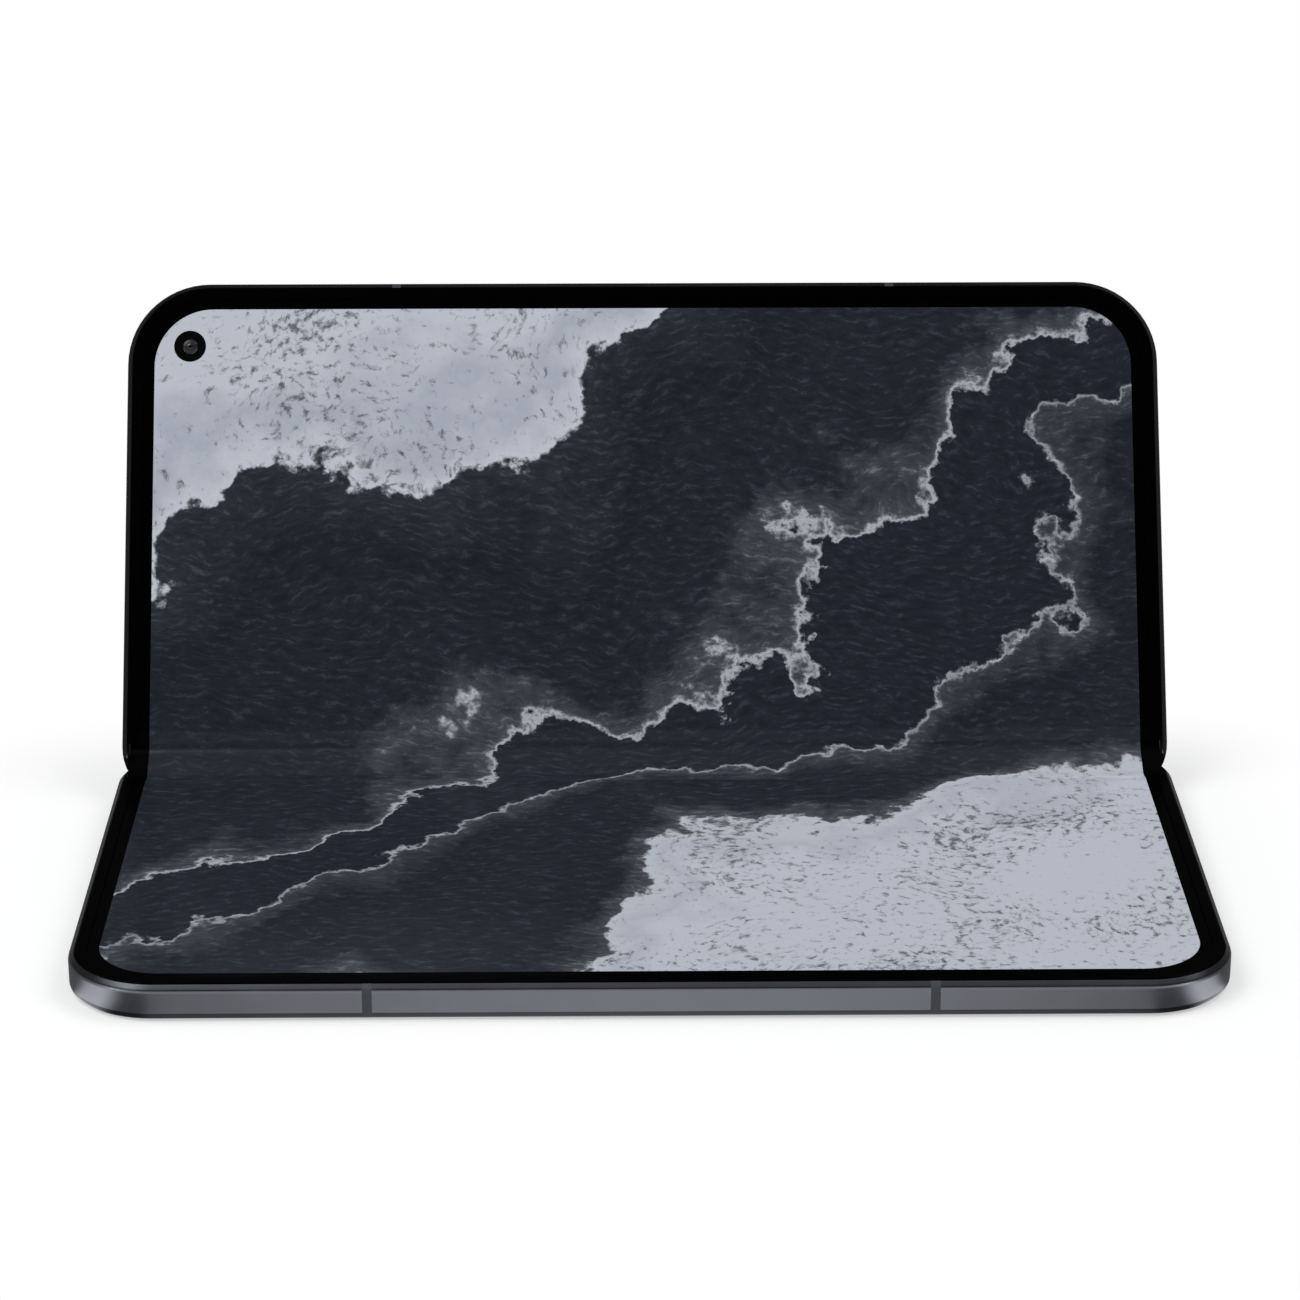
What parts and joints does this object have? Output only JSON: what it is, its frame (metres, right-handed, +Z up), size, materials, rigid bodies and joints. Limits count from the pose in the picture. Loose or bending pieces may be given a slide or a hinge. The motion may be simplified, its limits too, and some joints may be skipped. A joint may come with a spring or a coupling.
{
  "type": "foldable smartphone",
  "caption": "Half-open foldable smartphone with a folding inner display, a geared double-axis hinge, an outer display and a rear camera island.",
  "frame": {"origin": "centre of the base half's flat underside, on its outer glass", "axes": "+X along the hinge, to the right as the user faces the display; +Y from the base half's front edge towards the hinge; +Z up"},
  "size_m": [0.1552, 0.1145, 0.0684],
  "materials": {
    "frame_metal": "bead-blasted, anodised gunmetal",
    "antenna_polymer": "dark moulded band",
    "bezel_polymer": "black trim, fine satin",
    "inner_display": null,
    "outer_glass": "polished, black behind",
    "back_glass": "frosted, grey behind",
    "display_panel": "unlit panel",
    "camera_black": "black camera housing",
    "lens_glass": "coated lens cover",
    "lamp_lens": "yellow phosphor under a clear lens",
    "battery_foil": "pouch cell foil",
    "board_laminate": "green solder mask",
    "pressed_steel": "pressed stainless steel",
    "hinge_steel": "ground hinge steel",
    "gear_brass": "cut gear teeth",
    "speaker_polymer": "moulded speaker box",
    "mesh_steel": "blackened mesh",
    "magnet": "nickel-plated magnet",
    "coil_copper": "flat copper winding",
    "flex_film": "amber polyimide",
    "cap_polymer": "black moulded cap"
  },
  "bodies": {
    "base_half": {"base_frame": "frame_metal", "base_antenna_bands": "antenna_polymer", "base_bezel_trim": "bezel_polymer", "lower_display": "inner_display", "cover_glass": "outer_glass", "cover_display_panel": "display_panel", "cover_camera": "camera_black", "base_battery": "battery_foil", "base_board": "board_laminate", "sim_reader": "pressed_steel", "vibration_motor": "pressed_steel", "base_speaker": "speaker_polymer", "base_speaker_mesh": "mesh_steel", "base_magnets": "magnet", "base_hinge_arms": "hinge_steel", "base_hinge_shafts": "hinge_steel", "base_gears": "gear_brass", "base_arm_screws": "hinge_steel"},
    "lid_half": {"lid_frame": "frame_metal", "lid_antenna_bands": "antenna_polymer", "lid_bezel_trim": "bezel_polymer", "upper_display": "inner_display", "back_glass": "back_glass", "camera_island": "frame_metal", "rear_cameras": "camera_black", "camera_lenses": "lens_glass", "flash_lamp": "lamp_lens", "selfie_camera": "camera_black", "main_board": "board_laminate", "shield_cans": "pressed_steel", "lid_battery": "battery_foil", "charging_coil": "coil_copper", "button_switches": "flex_film", "usb_c_port": "pressed_steel", "usb_c_tongue": "speaker_polymer", "lid_speaker": "speaker_polymer", "lid_speaker_mesh": "mesh_steel", "lid_magnets": "magnet", "lid_hinge_arms": "hinge_steel", "lid_hinge_shafts": "hinge_steel", "lid_gears": "gear_brass", "lid_arm_screws": "hinge_steel"},
    "spine": {"spine_cover": "frame_metal", "spine_end_caps": "cap_polymer", "hinge_brackets": "hinge_steel", "idler_pins": "hinge_steel", "disc_springs": "hinge_steel", "middle_support_plate": "pressed_steel", "fold_display": "inner_display", "hinge_flexes": "flex_film"},
    "front_idler_pair": {"front_idlers": "gear_brass"},
    "rear_idler_pair": {"rear_idlers": "gear_brass"},
    "base_plate": {"base_support_plate": "pressed_steel"},
    "lid_plate": {"lid_support_plate": "pressed_steel"},
    "power_key": {"power_button": "frame_metal"},
    "volume_key": {"volume_rocker": "frame_metal"},
    "card_tray": {"sim_tray": "frame_metal"}
  },
  "joints": [
    {"name": "spine_fold", "type": "hinge", "parent": "base_half", "child": "spine", "pos_m": [0, 0.03482, 0.0028], "axis": [1, 0, 0], "range_deg": [-30, 60], "deforming": ["fold_display", "hinge_flexes"]},
    {"name": "lid_fold", "type": "hinge", "parent": "spine", "child": "lid_half", "pos_m": [0, 0.03911, 0.00528], "axis": [1, 0, 0], "range_deg": [-30, 60], "deforming": ["fold_display", "hinge_flexes"]},
    {"name": "front_idler_turn", "type": "hinge", "parent": "spine", "child": "front_idler_pair", "pos_m": [0, 0.03641, 0.00372], "axis": [1, 0, 0], "range_deg": [-60, 120]},
    {"name": "rear_idler_turn", "type": "hinge", "parent": "spine", "child": "rear_idler_pair", "pos_m": [0, 0.03752, 0.00436], "axis": [1, 0, 0], "range_deg": [-120, 60]},
    {"name": "base_plate_tilt", "type": "hinge", "parent": "base_half", "child": "base_plate", "pos_m": [0, 0.0303, 0.004], "axis": [1, 0, 0], "range_deg": [-16, 8]},
    {"name": "lid_plate_tilt", "type": "hinge", "parent": "lid_half", "child": "lid_plate", "pos_m": [0, 0.04034, 0.00979], "axis": [1, 0, 0], "range_deg": [-8, 16]},
    {"name": "power_press", "type": "slide", "parent": "lid_half", "child": "power_key", "axis": [0, -0.5, -0.866], "range_m": [0, 0.00025], "stiffness_N_per_m": 4000, "springref_m": -0.0002},
    {"name": "volume_rock", "type": "hinge", "parent": "lid_half", "child": "volume_key", "pos_m": [0.003, 0.0739, 0.06533], "axis": [0, -0.866, 0.5], "range_deg": [-0.7, 0.7], "stiffness_Nm_per_rad": 0.5},
    {"name": "tray_slide", "type": "slide", "parent": "base_half", "child": "card_tray", "axis": [1, 0, 0], "range_m": [0, 0.022]}
  ],
  "couplings": [
    {"joint": "lid_fold", "follows": "spine_fold", "ratio": 1},
    {"joint": "front_idler_turn", "follows": "spine_fold", "ratio": 1.875},
    {"joint": "rear_idler_turn", "follows": "spine_fold", "ratio": -1.875},
    {"joint": "base_plate_tilt", "follows": "spine_fold", "ratio": -0.2667},
    {"joint": "lid_plate_tilt", "follows": "spine_fold", "ratio": 0.2667}
  ]
}
